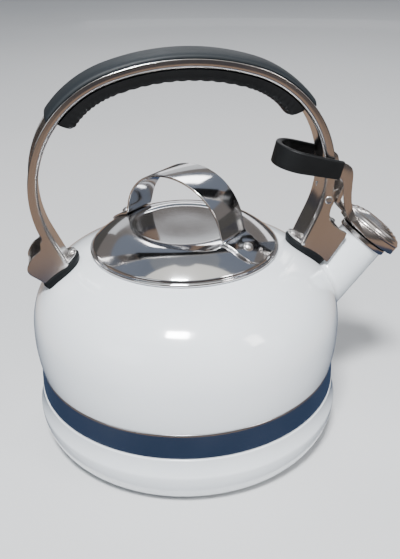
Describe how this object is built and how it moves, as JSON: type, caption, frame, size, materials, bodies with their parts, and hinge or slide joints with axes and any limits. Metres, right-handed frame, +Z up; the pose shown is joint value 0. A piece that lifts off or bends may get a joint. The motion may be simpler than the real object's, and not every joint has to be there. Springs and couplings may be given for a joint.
{
  "type": "stovetop whistling kettle",
  "caption": "Round enamelled kettle with a flared base, polished trim band, lift-off strap lid, tall arched handle and a sprung lever that opens the whistle cap on a short spout.",
  "frame": {"origin": "centre of the flat base, on the surface the kettle stands on", "axes": "+X to the spout, +Z up, Y across the handle"},
  "size_m": [0.2439, 0.2016, 0.2505],
  "materials": {
    "white_enamel": "glossy vitreous enamel on steel",
    "trim_steel": "polished stainless steel band",
    "handle_steel": "polished stainless steel",
    "lever_steel": "polished stainless steel",
    "lid_steel": "mirror-polished stainless steel",
    "spout_steel": "polished stainless steel",
    "fastener_steel": "satin stainless steel",
    "spring_steel": "drawn spring wire",
    "upper_grip": "satin soft-touch plastic",
    "lower_grip": "satin ribbed plastic",
    "thumb_grip": "satin plastic",
    "gasket_rubber": "matt silicone rubber"
  },
  "bodies": {
    "kettle": {"upper_shell": "white_enamel", "bottom_pan": "white_enamel", "trim_band": "trim_steel", "spout_tube": "white_enamel", "spout_collar": "spout_steel", "handle_band": "handle_steel", "rear_gasket": "gasket_rubber", "front_gasket": "gasket_rubber", "handle_screws": "fastener_steel", "handle_nuts": "fastener_steel", "upper_grip": "upper_grip", "lower_grip": "lower_grip", "grip_screws": "fastener_steel", "pivot_pin": "fastener_steel", "pivot_washers": "fastener_steel", "lever_spring": "spring_steel"},
    "lever": {"lever_frame": "lever_steel", "thumb_grip": "thumb_grip", "whistle_cap": "lever_steel", "upper_whistle_plate": "fastener_steel", "lower_whistle_plate": "fastener_steel", "cap_seal": "gasket_rubber"},
    "lid": {"lid_shell": "lid_steel", "lid_collar": "lid_steel", "lid_strap": "lid_steel", "lid_rivets": "fastener_steel"}
  },
  "joints": [
    {"name": "lever_pivot", "type": "hinge", "parent": "kettle", "child": "lever", "pos_m": [0.0903, 0, 0.1555], "axis": [0, -1, 0], "range_deg": [0, 25], "stiffness_Nm_per_rad": 0.1, "springref_deg": -34.38, "deforming": ["lever_spring"]},
    {"name": "lid_lift", "type": "slide", "parent": "kettle", "child": "lid", "axis": [0, 0, 1], "range_m": [0, 0.018]}
  ]
}
